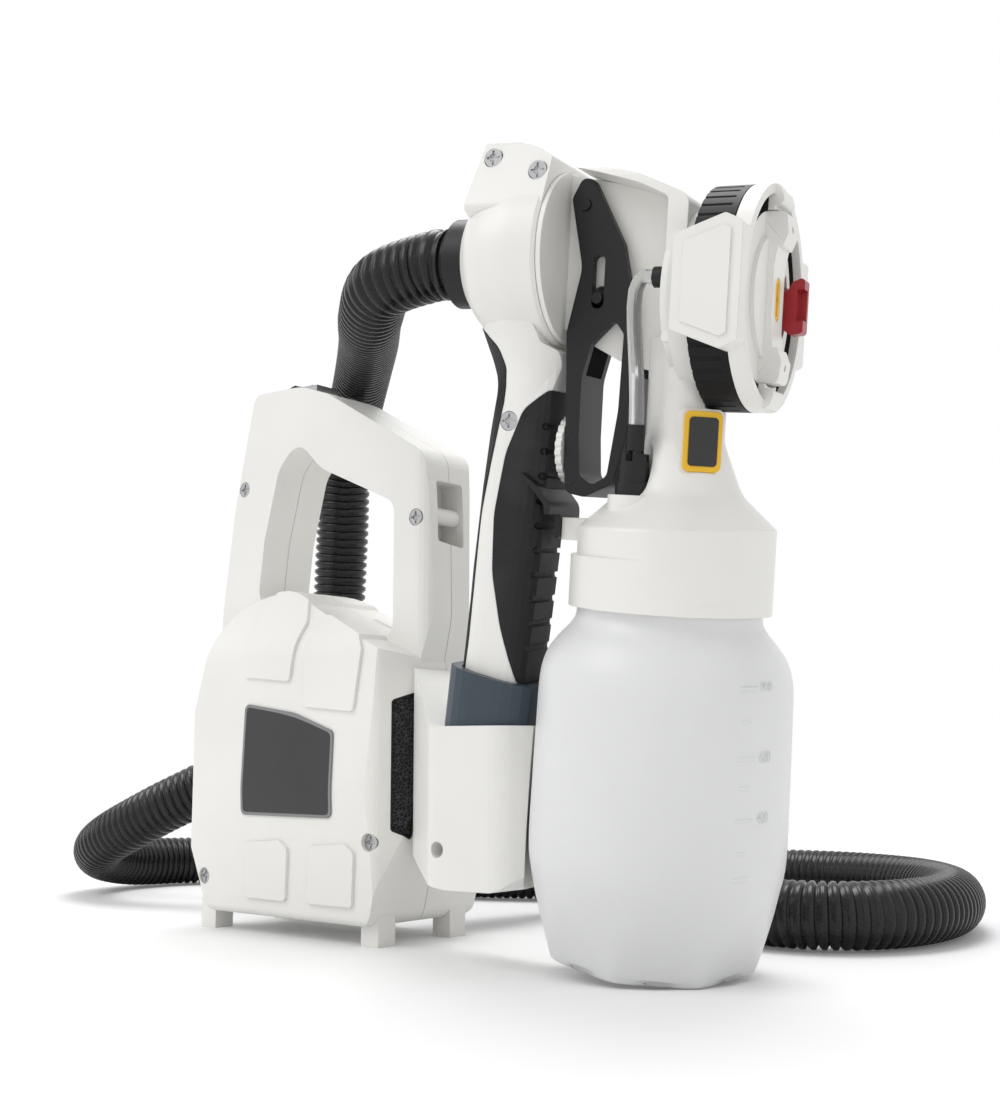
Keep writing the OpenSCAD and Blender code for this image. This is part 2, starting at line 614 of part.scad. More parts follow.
module hull_free_oblong(x0, x1, r, reach) {
    for (side = [-1, 1]) translate([0, 0, side * (reach - r)]) rod_x(x0, x1, r);
    box([x0, -r, r - reach], [x1, r, reach - r]);
}
tip_slot_w = 6.4;
tip_slot_h = 16;
module air_cap() color(WHITE) about_nozzle() difference() {
    union() {
        rod_x(cap_back, cap_back + 3, air_cap_r);
        rod_x(cap_back + 2, cap_back + 4.7, air_cap_r - 9);
        slab_y(-8, 8) polygon(rounded([[cap_back, -32, 1], [38, -22, 2], [36.4, -12, 8], [36.4, 12, 8], [38, 22, 2],
            [cap_back, 32, 1]]));
        for (side = [0, 180]) rotate([side, 0, 0])
            slab_y(-7, 7) polygon(rounded([[cap_back, 19, 1], [39, 19, 1], [41, 24, 2], [40, 32, 2], [cap_back, 32.6, 1]]));
    }
    rod_x(20, 34.2, tip_r + 0.2);
    oblong(20, 45, tip_slot_w + 0.5, tip_slot_h + 0.5);
    sector(20, 50, lever_r0 - clearance, lever_r1 + clearance, lever_half + lever_swing);
    for (side = [0, 180]) rotate([side, 0, 0]) translate([0, 0, 26]) rod_x(20, 45, 1.3);
}
module nozzle_tip() color(YELLOW) about_nozzle() difference() {
    union() {
        rod_x(27.2, 34, tip_r);
        oblong(33, 36.2, tip_slot_w, tip_slot_h);
    }
    rod_x(20, 40, 1.4);
    box([35, -0.8, -6], [38, 0.8, 6]);
}
// The lever's foot is a sector about the nozzle axis, and slides in a longer slot of the air cap
lever_r0 = 13;
lever_r1 = 22.4;
lever_half = 20;
lever_swing = 13;
module sector(x0, x1, r0, r1, half) rotate([0, 90, 0]) translate([0, 0, x0]) rotate([0, 0, 90 - half])
    rotate_extrude(angle = 2 * half) translate([r0, 0]) square([r1 - r0, x1 - x0]);
module jet_lever() color(RED) about_nozzle() {
    sector(cap_back + 0.5, 35, lever_r0, lever_r1, lever_half);
    difference() {
        slab_y(14, 21) polygon(rounded([[34.6, -9, 1], [38, -11.5, 1.5], [43, -11, 1.5], [43, 11, 1.5], [38, 9, 1.5],
            [36.5, 5, 1], [34.6, 7, 1]]));
        box([40, 10, -6], [45, 19, 6]);
    }
}
// Curved rest for the hand behind the container's collar
rest_outline = [[-59.5, 187.6, 0.5], [-53, 182.4, 20], [-47.6, 176.5, 6], [-47.4, 163.5, 0.8], [-45.2, 163.5, 0.8],
    [-45.2, 177, 6], [-51.5, 184.2, 20], [-58.6, 189.4, 0.5]];
rest_screw_z = 168;
module hand_rest() color(BLACK) in_gun() difference() {
    slab_y(-20, 11) polygon(rounded(rest_outline));
    grip_form(-0.8);
    box([-60, -21, 160], [-44, -9, 173]);
    translate([0, 0, rest_screw_z]) rod_x(-60, -40, 1.65);
}
module hand_rest_screw() color(STEEL) in_gun() translate([-47.65, 0, rest_screw_z]) {
    rod_x(-1.6, 0, 3);
    rod_x(-overlap, 9, 1.55);
}
valve = [-11, -19];
valve_top = 209;
module vent_valve() color(BLACK) in_gun() translate([valve[0], valve[1], 182]) difference() {
    union() {
        cylinder(h = 5, r = 6.8);
        translate([0, 0, 5 - overlap]) cylinder(h = 11, r1 = 6.2, r2 = 5.6);
        translate([0, 0, 15]) cylinder(h = valve_top - 197, r = 3.6);
    }
    for (side = [0, 90]) rotate([0, 0, side]) box([-1.4, -8, 13], [1.4, 8, 17]);
    translate([0, 0, -1]) cylinder(h = 30, r = 1.4);
}
// The clear tube rises from the valve and bends over into a sleeve on the front wall
vent_port = [-22, 265];
module vent_elbow() color(BLACK) in_gun() translate([0, vent_port[0], vent_port[1]]) {
    rod_x(-5.5, -0.3, 4);
    rod_x(-1, 4, 2.5);
}
vent_points = [[-11, -19, valve_top + 0.6], [-10.8, -19.6, 213], [-10.6, -20.8, 219], [-10.8, -21.8, 227], [-11.6, -22.2, 237],
    [-12.6, -22.2, 246], [-13.2, -22, 254], [-12.9, -22, 260], [-11.4, -22, 264], [-9.4, -22, 265.4], [-7.8, -22, 265.3],
    [-6, -22, 265.1]];
vent_r = 3;
module vent_tube() color(CLEAR) in_gun() sweep(vent_points, vent_r, 10);

// A flat pad on the column carries the plate with the setting window
plate_face = 19.5;
plate_t = 1.2;
module on_pad() translate([column_x, 0, 203.5]) rotate([0, 0, 38]) children();
module pad_slab(w, h, y0, y1) slab_y(y0, y1) polygon(rounded([[-w / 2, -h / 2, 2.5], [w / 2, -h / 2, 2.5],
    [w / 2, h / 2, 2.5], [-w / 2, h / 2, 2.5]]));
module setting_plate() color(YELLOW) in_gun() on_pad() pad_slab(15, 23, -plate_face - plate_t, -plate_face);

// ---- container ----
container_profile = [[-10, 0, 0.4], [43, 0, 4], [container_r - 2, 30, 40], [container_r, 40, 30],
    [container_r - 1, container_h - 22, 14], [neck_r, container_h - 2, 4], [neck_r, 150, 1], [-10, 150, 0.4]];
module turned(pts) rotate_extrude() polygon([for (p = rounded(pts)) [max(0, p[0]), p[1]]]);
module container() color(MILKY) in_gun() difference() {
    turned(container_profile);
    turned(inset_outline(container_profile, container_wall));
    translate([0, 0, 100]) cylinder(h = 60, r = neck_r - container_wall);
    // Flats pressed into the foot of the container
    for (i = [0 : 7]) rotate([0, 0, 22.5 + i * 45]) translate([48, 0, 14]) rotate([0, 12, 0])
        rotate([0, 90, 0]) cylinder(h = 10, r = 15);
}
module container_seal() color(BLACK) in_gun() translate([0, 0, 150.1]) difference() {
    cylinder(h = 1.7, r = neck_r);
    translate([0, 0, -1]) cylinder(h = 4, r = neck_r - 4);
}
module feed_tube() color(MILKY) in_gun() difference() {
    translate([0, 0, 8]) cylinder(h = 180, r = 3.15);
    translate([0, 0, 7]) cylinder(h = 190, r = 2);
}

// ---- air hose ----
// A tube of the given radius swept along its points
function along(pts, i) = unit(pts[min(i + 1, len(pts) - 1)] - pts[max(i - 1, 0)]);
function carry(n, t) = unit(n - t * (n * t));
function frames(pts, i, n) = i == len(pts) ? [] :
    let (t = along(pts, i), m = carry(n, t)) concat([[m, cross(t, m)]], frames(pts, i + 1, m));
module sweep(pts, r, sides) {
    n = len(pts);
    axes = frames(pts, 0, abs(along(pts, 0)[2]) > 0.9 ? [1, 0, 0] : [0, 0, 1]);
    polyhedron(
        points = [for (i = [0 : n - 1]) for (k = [0 : sides - 1])
            pts[i] + r * (cos(360 * k / sides) * axes[i][0] + sin(360 * k / sides) * axes[i][1])],
        faces = concat([[for (k = [0 : sides - 1]) k]],
            [[for (k = [sides - 1 : -1 : 0]) (n - 1) * sides + k]],
            [for (i = [0 : n - 2]) for (k = [0 : sides - 1]) let (a = i * sides + k, b = i * sides + (k + 1) % sides)
                each [[a, a + sides, b], [b, a + sides, b + sides]]]));
}
// Route of the hose's middle line, from the gun's cuff to its plug
hose_route = [[149, -62.6, 290.6], [139.4, -65.2, 291.8], [129, -67.6, 292.6], [101, -68.5, 290.5], [72, -48, 287.5], [34, -12, 290], [-5, 22, 288],
    [-36, 46, 276], [-58, 60, 250], [-69, 69, 205], [-76, 71, 157], [-92, 64, 111], [-124, 42, 78], [-168, 18, 53],
    [-212, 15, 35], [-246, 34, 24], [-260, 66, 17], [-256, 103, 15.5], [-233, 132, 15.5], [-191, 147, 15.5],
    [-132, 150, 15.5], [-70, 155, 15.5], [-14, 178, 15.5], [34, 216, 15.5], [84, 254, 15.5], [140, 268, 15.5],
    [190, 253, 15.5], [226, 216, 15.5], [245, 172, 15.5], [246, 130, 15.5], [232, 100, 15.5], [205, 87, 15.5],
    [177, 96, 15.5], [154, 122, 15.5], [127, 145, 17], [95, 156, 23], [65, 149, 33], [45, 128, 43],
    [40, 102, 48], [40, 80.3, 48]];
// A point between the second and third of four, at the share t, on a smooth curve through all of them
function between(p, t) = ((2 * p[1]) + (p[2] - p[0]) * t + (2 * p[0] - 5 * p[1] + 4 * p[2] - p[3]) * t * t
    + (3 * p[1] - p[0] - 3 * p[2] + p[3]) * t * t * t) / 2;
function smooth_route(pts, steps) = concat([for (i = [0 : len(pts) - 2])
    let (a = i == 0 ? 2 * pts[0] - pts[1] : pts[i - 1])
    let (d = i == len(pts) - 2 ? 2 * pts[i + 1] - pts[i] : pts[i + 2])
    for (k = [0 : steps - 1]) between([a, pts[i], pts[i + 1], d], k / steps)], [pts[len(pts) - 1]]);
module air_hose() color(BLACK) in_frame() sweep(smooth_route(hose_route, 2), hose_d / 2, 10);
plug_face = 79.7;
module hose_plug() color(BLACK) in_frame() translate([outlet_x, 0, outlet_z]) difference() {
    union() {
        rod_y(44, 60, outlet_r - 3.3);
        rod_y(housing_d / 2 + 14.3, 94, outlet_r + 1.5);
        for (i = [0 : 3]) rod_y(58 + i * 6, 61 + i * 6, outlet_r + 2.3);
    }
    rod_y(plug_face, 95, hose_d / 2 + 0.2);
    rod_y(43, plug_face + 1, outlet_r - 6);
}

front_shell();
rear_shell();
shell_screws();
label_plate();
switch_bezel();
power_switch();
filter_foam();
filter_frame();
strap_pin();
motor();
motor_bracket();
fan_wheel();
hose_outlet();
mains_inlet();
gun_holder();
holder_ring();
handle_shell_left();
handle_shell_right();
handle_screws();
grip_front();
grip_back();
hose_cuff();
front_body();
trigger();
trigger_pin();
volume_dial();
needle();
nozzle_seat();
union_nut();
adjusting_ring();
air_cap();
nozzle_tip();
jet_lever();
hand_rest();
hand_rest_screw();
vent_valve();
vent_tube();
vent_elbow();
setting_plate();
container();
container_seal();
feed_tube();
air_hose();
hose_plug();
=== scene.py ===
"""Looks of a turbine paint sprayer: its hose, plastics, grip rubber, milky container and a plain studio."""

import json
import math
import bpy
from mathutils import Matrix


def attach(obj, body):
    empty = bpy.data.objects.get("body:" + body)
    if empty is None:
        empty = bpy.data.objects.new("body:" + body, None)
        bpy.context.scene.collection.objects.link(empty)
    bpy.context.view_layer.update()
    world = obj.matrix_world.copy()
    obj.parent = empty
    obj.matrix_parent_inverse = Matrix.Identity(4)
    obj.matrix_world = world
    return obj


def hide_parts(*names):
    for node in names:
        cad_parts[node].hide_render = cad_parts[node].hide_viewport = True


bl_info = {
    "name": "Turbine Paint Sprayer",
    "version": (1, 0, 0),
    "blender": (4, 5, 0),
    "location": "View3D > Sidebar > Sprayer",
    "description": "Builds the pieces and finishes of a turbine paint sprayer around its CAD frame",
    "category": "Object",
}

import bmesh
import bpy
from mathutils import Matrix, Vector

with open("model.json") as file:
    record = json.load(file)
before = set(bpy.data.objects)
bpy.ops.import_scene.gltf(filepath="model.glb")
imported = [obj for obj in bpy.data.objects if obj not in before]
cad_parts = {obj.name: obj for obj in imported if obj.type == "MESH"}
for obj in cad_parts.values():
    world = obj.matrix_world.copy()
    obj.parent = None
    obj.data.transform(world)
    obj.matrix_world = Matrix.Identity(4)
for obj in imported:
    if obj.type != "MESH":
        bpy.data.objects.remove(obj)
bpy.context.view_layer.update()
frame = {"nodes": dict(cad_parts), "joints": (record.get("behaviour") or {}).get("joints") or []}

MM = 0.001
JOINTS = {joint["name"]: joint for joint in frame["joints"]}

# The gun's own frame: X to the nozzle, Y away from the holder's open side, Z up through the container
NOZZLE_AXIS = Vector(JOINTS["union_nut_turn"]["axis"]).normalized()
CONTAINER_AXIS = Vector(JOINTS["container_turn"]["axis"]).normalized()
TRIGGER_AXIS = Vector(JOINTS["trigger_pull"]["axis"]).normalized()
CONTAINER_PIVOT_H = 0.08
GUN_BASE = Vector(JOINTS["container_turn"]["pos_m"]) - CONTAINER_AXIS * CONTAINER_PIVOT_H
GUN = Matrix.Translation(GUN_BASE) @ Matrix((NOZZLE_AXIS, TRIGGER_AXIS, CONTAINER_AXIS)).transposed().to_4x4()
# The turbine housing's own frame, centred between its feet
HOUSING = Matrix.Translation((-0.104, 0.021, 0))

# Lengths in the lists and constants below are millimetres, apart from those of the camera, lamps and floor

# Middle line of the hose in the housing's frame, from the gun's cuff to the plug
HOSE_ROUTE = [
    (149, -62.6, 290.6), (139.4, -65.2, 291.8), (129, -67.6, 292.6), (101, -68.5, 290.5), (72, -48, 287.5),
    (34, -12, 290), (-5, 22, 288), (-36, 46, 276), (-58, 60, 250), (-69, 69, 205), (-76, 71, 157), (-92, 64, 111),
    (-124, 42, 78), (-168, 18, 53), (-212, 15, 35), (-246, 34, 24), (-260, 66, 17), (-256, 103, 15.5),
    (-233, 132, 15.5), (-191, 147, 15.5), (-132, 150, 15.5), (-70, 155, 15.5), (-14, 178, 15.5), (34, 216, 15.5),
    (84, 254, 15.5), (140, 268, 15.5), (190, 253, 15.5), (226, 216, 15.5), (245, 172, 15.5), (246, 130, 15.5),
    (232, 100, 15.5), (205, 87, 15.5), (177, 96, 15.5), (154, 122, 15.5), (127, 145, 17), (95, 156, 23),
    (65, 149, 33), (45, 128, 43), (40, 102, 48), (40, 80.3, 48),
]
HOSE_ROUTE_STEPS = 24
# One rib of the hose as shares of its pitch and of the groove's depth: a flat crest, two flanks and a narrow floor
RIB_SECTION = [(0.0, 0.35), (0.10, 1.0), (0.26, 0.55), (0.38, 0.06), (0.50, 0.0), (0.70, 0.0), (0.82, 0.06),
               (0.93, 0.5)]
STEPS_PER_RIB = 10

# Corners of the label plate in the housing's X and Z, anticlockwise, and the width of its pale rim
LABEL_OUTLINE = [(-24, 57), (40, 57), (40, 97), (12, 106), (-24, 111)]
LABEL_RIM = 1.4

# Outside of the container as radius and height in the gun's frame, from the middle of its base to its mouth
CONTAINER_PROFILE = [
    (0.5, 2.4), (14, 2.4), (30, 2.2), (37, 1.0), (40.5, 0.1), (42.6, 0.9), (43.6, 3.4), (45, 10), (47.1, 20), (49, 30),
    (50.3, 36.5), (50.9, 43), (51, 52), (50.8, 66), (50.6, 80), (50.3, 94), (50, 106), (49.2, 113.5), (47, 120),
    (43, 125.8), (39, 130.3), (37, 133.6), (36.5, 137), (36.5, 143), (36.5, 149.8),
]
CONTAINER_STEPS = 4
CONTAINER_WALL = 1.8
# The profile's points from this one on climb the wall
WALL_START = 5
# Flats pressed into the container's foot: their number, their distance from its axis at the floor and its growth
# with height, and how far in and up the foot's edge reaches
FOOT_FLATS = 8
FOOT_FLAT_R = 39.2
FOOT_FLAT_SLOPE = 0.34
FOOT_EDGE = 4
# The container's marks as height and length, and its numbers with their heights
GRADUATIONS = [(113, 9.2), (101, 5.2), (87.4, 9.2), (76.7, 5.2), (64.8, 9.2), (52.5, 5.2), (43, 9.2)]
LONG_MARK = 6
SHORT_MARK_SHIFT = 0.35
MARK_HALF_H = 1.1
MARK_SUNK = 0.2
MARK_WALL = 0.3
NUMBERS = {"800": 113, "600": 87.4, "400": 64.8}
NUMBER_SIZE = 6.2
NUMBER_SQUEEZE = 0.72
NUMBER_TURN = 0.19

# The pad that carries the setting plate, its place and turn in the gun's frame, and the plate's face and dark window
PAD_CENTRE = (2.5, 0, 203.5)
PAD_TURN = math.radians(38)
PAD_FACE = -20.7
WINDOW_WIDE = 11.6
WINDOW_TALL = 18.6
WINDOW_CORNER = 1.6
WINDOW_THICK = 0.5
# The marks beside the volume dial: where they stand on the trigger in the gun's frame, how thick they are, and each
# bar's drop, width and height, first a minus, last a plus and plain ones between
DIAL_SCALE_CENTRE = (-39.9, -12, 194.5)
DIAL_MARK_THICK = 0.5
DIAL_MARKS = [(-8.4, 1.7, 0.5), (8.6, 1.7, 0.5), (8.6, 0.5, 1.7), (-4.8, 0.9, 0.45), (-1.6, 0.9, 0.45),
              (1.6, 0.9, 0.45), (4.8, 0.9, 0.45)]
# Where the handle's shells lie under the front grip rubber, in the gun's X and Z, anticlockwise
GRIP_OUTLINE = [(-59, 103), (-40, 98), (-40, 223), (-51, 222.5), (-61, 214.5), (-68, 197), (-72, 172), (-71.5, 148),
                (-67, 127)]
GRIP_INSET = 0.5
# The groove round the air cap, whose floor is painted black as painted shade: its inner and outer radius, and how far
# ahead of the jet ring's joint it ends
JET_RING_CENTRE = Vector(JOINTS["jet_ring_turn"]["pos_m"])
GROOVE_SHADE_R = (32.7, 39.45)
GROOVE_SHADE_TOP = 0.25

CAMERA_PLACE = (0.4202, -0.4693, 0.088)
CAMERA_TURN = (math.radians(97.9), 0, math.radians(40.2))
CAMERA_SENSOR = 36
CAMERA_LENS = CAMERA_SENSOR * 1406 / 1000
# Each lamp's place in metres, size in metres and power in watts
LAMPS = {"key": ((-0.55, -1.25, 1.35), 1.0, 9), "side": ((1.6, -0.6, 0.9), 0.9, 1),
         "top": ((-0.25, 0.45, 1.9), 1.0, 20)}
LAMP_AIM = Vector((0, 0, 0.15))
FLOOR_R = 6
FLOOR_FADE = (0.45, 1.5)
WHITE = (1, 1, 1, 1)

PLASTIC_IOR = 1.48
RUBBER_IOR = 1.5
HOSE_DUST = (0.11, 0.105, 0.10)

HOUSING_NODES = ["front_shell", "rear_shell", "strap_pin", "gun_holder", "fan_wheel"]
GUN_WHITE_NODES = ["front_body", "volume_dial"]
HANDLE_NODES = ["handle_shell_left", "handle_shell_right"]
JET_NODES = ["adjusting_ring", "air_cap"]
BLACK_NODES = ["power_switch", "filter_frame", "hose_outlet", "mains_inlet", "hose_cuff", "trigger",
               "hand_rest", "vent_valve", "vent_elbow", "hose_plug", "motor_bracket"]
YELLOW_NODES = ["setting_plate", "nozzle_tip"]
RUBBER_NODES = ["grip_front", "grip_back", "container_seal"]
STEEL_NODES = ["shell_screws", "handle_screws", "hand_rest_screw", "nozzle_seat", "motor", "switch_bezel"]
DARK_STEEL_NODES = ["trigger_pin", "needle"]
MILKY_NODES = ["container", "feed_tube"]


# ---- shader maths ----
class Wire:
    """A node's output, on which Python's operators add Math nodes."""

    def __init__(self, graph, source):
        self.graph = graph
        self.source = source

    def math(self, operation, *others):
        return self.graph.node("ShaderNodeMath", {"operation": operation}, dict(enumerate([self, *others])))

    def __add__(self, other):
        return self.math("ADD", other)

    def __sub__(self, other):
        return self.math("SUBTRACT", other)

    def __mul__(self, other):
        return self.math("MULTIPLY", other)

    def __rsub__(self, other):
        return self.graph.number(other).math("SUBTRACT", self)

    def __gt__(self, other):
        return self.math("GREATER_THAN", other)

    __radd__ = __add__
    __rmul__ = __mul__

    def ramp(self, low, high, start=0.0, end=1.0):
        """Start below low, end above high, and a smooth change between."""
        return self.graph.node("ShaderNodeMapRange", {"interpolation_type": "SMOOTHSTEP"},
                               {"Value": self, "From Min": low, "From Max": high, "To Min": start, "To Max": end})


class Graph:
    """A node tree that is filled one expression at a time."""

    def __init__(self, tree, output):
        self.tree = tree
        tree.nodes.clear()
        self.output = tree.nodes.new(output)

    def feed(self, socket, value):
        if isinstance(value, Wire):
            self.tree.links.new(value.source, socket)
        else:
            socket.default_value = value

    def node(self, kind, settings=None, inputs=None, output=0):
        node = self.tree.nodes.new(kind)
        for key, value in (settings or {}).items():
            setattr(node, key, value)
        for key, value in (inputs or {}).items():
            self.feed(node.inputs[key], value)
        return Wire(self, node.outputs[output])

    def show(self, surface):
        self.feed(self.output.inputs["Surface"], surface)

    def number(self, value):
        wire = self.node("ShaderNodeValue")
        wire.source.default_value = value
        return wire

    def vector(self, operation, *values, output=0):
        return self.node("ShaderNodeVectorMath", {"operation": operation}, dict(enumerate(values)), output)

    def where(self):
        return self.node("ShaderNodeTexCoord", output="Object")

    def place(self, turned=(0, 0, 0), stretched=(1, 1, 1)):
        return self.node("ShaderNodeMapping", {}, {"Vector": self.where(), "Rotation": turned, "Scale": stretched})

    def noise(self, scale, detail=3.0, roughness=0.5, at=None):
        return self.node("ShaderNodeTexNoise", {},
                         {"Vector": at or self.place(), "Scale": scale, "Detail": detail, "Roughness": roughness})

    def mix(self, share, one, other):
        return self.node("ShaderNodeMix", {"data_type": "RGBA"}, {0: share, 6: one, 7: other}, output=2)


class Finish(Graph):
    """A material, its Principled shader and the patterns that its finishes share."""

    def __init__(self, name):
        self.material = bpy.data.materials.new(name)
        self.material.use_nodes = True
        super().__init__(self.material.node_tree, "ShaderNodeOutputMaterial")
        self.shader = self.tree.nodes.new("ShaderNodeBsdfPrincipled")
        self.show(Wire(self, self.shader.outputs[0]))

    def set(self, **sockets):
        for name, value in sockets.items():
            self.feed(self.shader.inputs[name.replace("_", " ")], value)
        return self.material

    def bump(self, height, depth, strength=1.0, under=None):
        inputs = {"Height": height, "Distance": depth, "Strength": strength}
        if under is not None:
            inputs["Normal"] = under
        return self.node("ShaderNodeBump", {}, inputs)

    def soft_edges(self, radius):
        return self.node("ShaderNodeBevel", {"samples": 4}, {"Radius": radius})

    def grain(self):
        """The spark-eroded grain of a mould."""
        return self.noise(2600, 2, 0.6)

    def flow(self):
        """Faint patches where the plastic met in its mould."""
        return self.noise(14, 2).ramp(0.35, 0.7)

    def inside(self, place, outline, softness):
        """Distance inside a convex outline in the place's X and Z, with its corners anticlockwise."""
        at = self.where()
        gap = self.number(1.0)
        for (x0, z0), (x1, z1) in zip(outline, outline[1:] + outline[:1]):
            inward = place.to_3x3() @ Vector((z0 - z1, 0, x1 - x0)).normalized()
            start = place @ (Vector((x0, 0, z0)) * MM)
            reach = self.vector("DOT_PRODUCT", at, inward, output="Value")
            gap = gap.math("SMOOTH_MIN", reach - inward.dot(start), softness)
        return gap


def rgb(colour, gain=1.0):
    return tuple(min(1.0, channel * gain) for channel in colour[:3]) + (1.0,)


def spark_texture(name, colour, roughness, grain=0.00003, edge=0.0004, scuff=0.10, gloss=0.5):
    """Moulded plastic: a fine spark-eroded grain, faint flow marks and a few dull scuffs."""
    finish = Finish(name)
    flow = finish.flow()
    rub = finish.noise(90, 5, 0.7, finish.place((0.4, 0.2, 0.9), (1, 0.25, 1))).ramp(0.62, 0.74)
    shade = finish.mix(flow, rgb(colour, 0.975), rgb(colour, 1.015))
    worn = finish.mix(rub * scuff, shade, rgb(colour, 0.82 if sum(colour) > 1.5 else 1.9))
    return finish.set(Base_Color=worn, Roughness=roughness + flow * 0.05 + rub * scuff, IOR=PLASTIC_IOR,
                      Specular_IOR_Level=gloss,
                      Normal=finish.bump(finish.grain(), grain, 0.6, finish.soft_edges(edge)))


def two_colour_plastic(finish, under, colour, under_colour):
    """Gun plastic in a second colour, and duller, where under is 1; on the jet this second colour is painted shade in
    the groove.
    """
    flow = finish.flow()
    shade = finish.mix(under, finish.mix(flow, rgb(colour, 0.975), rgb(colour, 1.015)), rgb(under_colour))
    return finish.set(Base_Color=shade, Roughness=0.30 + flow * 0.05 + under * 0.3, IOR=PLASTIC_IOR,
                      Normal=finish.bump(finish.grain(), 0.00003, 0.6, finish.soft_edges(0.0004)))


def handle_plastic(colours):
    """White, and black where the front grip rubber is moulded over it."""
    finish = Finish("handle_white")
    under = finish.inside(GUN, GRIP_OUTLINE, 0.0001) > GRIP_INSET * MM
    return two_colour_plastic(finish, under, colours.white, colours.black)


def jet_plastic_with_painted_groove_shade(colours):
    """White, and painted black on the floor of the groove between the adjusting ring and the air cap, as painted shade.
    """
    finish = Finish("jet_white_groove_shade")
    spoke = finish.vector("SUBTRACT", finish.where(), JET_RING_CENTRE)
    ahead = finish.vector("DOT_PRODUCT", spoke, NOZZLE_AXIS, output="Value")
    radius = finish.vector("LENGTH", finish.vector("CROSS_PRODUCT", spoke, NOZZLE_AXIS), output="Value")
    # Painted shade: the groove's floor between the ring and the cap is painted black where shade falls in the recess
    groove = (radius > GROOVE_SHADE_R[0] * MM) * (GROOVE_SHADE_R[1] * MM - radius > 0) * (GROOVE_SHADE_TOP * MM - ahead > 0)
    return two_colour_plastic(finish, groove, colours.white, colours.black)


def grip_rubber(name, colour):
    """Soft rubber: matt, finely stippled, and polished a little where a hand holds it."""
    finish = Finish(name)
    stipple = finish.node("ShaderNodeTexVoronoi", {"feature": "F1"}, {"Vector": finish.place(), "Scale": 1500.0})
    polish = finish.noise(40, 3).ramp(0.45, 0.7)
    shade = finish.mix(polish, rgb(colour, 0.9), rgb(colour, 1.35))
    return finish.set(Base_Color=shade, Roughness=0.62 - polish * 0.12, IOR=RUBBER_IOR, Specular_IOR_Level=0.3,
                      Normal=finish.bump(stipple, 0.00006, 0.5, finish.soft_edges(0.0003)))


def zinc_steel(name, colour, roughness):
    """Plated steel: turned lines and small clouded patches."""
    finish = Finish(name)
    cloud = finish.noise(700, 3).ramp(0.3, 0.75)
    lines = finish.noise(1800, 2, 0.5, finish.place(stretched=(0.08, 1, 1)))
    shade = finish.mix(cloud, rgb(colour, 0.94), rgb(colour, 1.05))
    return finish.set(Base_Color=shade, Metallic=1.0, Roughness=roughness + cloud * 0.06 + lines * 0.05,
                      Normal=finish.bump(lines, 0.00001, 0.3, finish.soft_edges(0.0002)))


def corrugated_plastic(name, colour):
    """Satin extruded polyethylene, a little dusty in its grooves."""
    finish = Finish(name)
    depth = finish.node("ShaderNodeAttribute", {"attribute_name": "groove"}, output="Fac")
    smear = finish.noise(160, 4, 0.6)
    dust = finish.noise(700, 4, 0.7).ramp(0.55, 0.75) * depth
    shade = finish.mix(dust * 0.35, rgb(colour), rgb(HOSE_DUST))
    return finish.set(Base_Color=shade, Roughness=0.2 + smear * 0.14 + dust * 0.3, IOR=1.5,
                      Specular_IOR_Level=0.32, Normal=finish.bump(smear, 0.00006, 0.4))


def foam_with_painted_pore_shade(name, colour):
    """Open-cell foam: pores painted dark as their shade, between lighter struts."""
    finish = Finish(name)
    cell = finish.node("ShaderNodeTexVoronoi", {"feature": "DISTANCE_TO_EDGE"},
                       {"Vector": finish.place(), "Scale": 620.0})
    strut_and_pore_shade = cell.ramp(0.02, 0.16, 1.0, 0.0)
    # Painted shade: the pores get a much darker colour than the struts, standing in for the shade inside them
    shade = finish.mix(strut_and_pore_shade, rgb(colour, 0.25), rgb(colour, 3.2))
    return finish.set(Base_Color=shade, Roughness=0.95, Normal=finish.bump(strut_and_pore_shade, 0.0005, 0.9))


def milky_plastic(name, colour):
    """Blow-moulded polyethylene that lets light glow through it."""
    finish = Finish(name)
    wave = finish.noise(22, 3, 0.5, finish.place(stretched=(1, 1, 0.35)))
    shade = finish.mix(wave.ramp(0.3, 0.7), rgb(colour, 0.975), rgb(colour, 1.01))
    return finish.set(Base_Color=shade, Roughness=0.3 + wave * 0.12, IOR=1.5, Transmission_Weight=0.12,
                      Subsurface_Weight=0.35, Subsurface_Radius=(1.0, 1.0, 1.0), Subsurface_Scale=0.004,
                      Normal=finish.bump(wave, 0.0004, 0.35, finish.soft_edges(0.0015)))


def clear_vinyl(name, colour):
    """Flexible clear tube with a faint haze."""
    finish = Finish(name)
    haze = finish.noise(240, 3)
    return finish.set(Base_Color=rgb(colour), Roughness=0.08 + haze * 0.12, IOR=1.45, Transmission_Weight=0.85,
                      Normal=finish.bump(haze, 0.0001, 0.3))


def label_plastic(name, colour, rim_colour):
    """Satin plate with a paler rim inside its outline."""
    finish = Finish(name)
    rim = LABEL_RIM * MM
    edge = finish.inside(HOUSING, LABEL_OUTLINE, 0.004).ramp(rim * 0.9, rim * 1.1, 1.0, 0.0)
    sheen = finish.noise(30, 3).ramp(0.3, 0.7)
    shade = finish.mix(edge, finish.mix(sheen, rgb(colour, 0.9), rgb(colour, 1.15)), rgb(rim_colour))
    return finish.set(Base_Color=shade, Roughness=0.34 + sheen * 0.08 - edge * 0.06, IOR=PLASTIC_IOR,
                      Normal=finish.bump(finish.grain(), 0.00002, 0.5, finish.soft_edges(0.0003)))


def paint(nodes, material):
    for name in nodes:
        mesh = frame["nodes"][name].data
        mesh.materials.clear()
        mesh.materials.append(material)


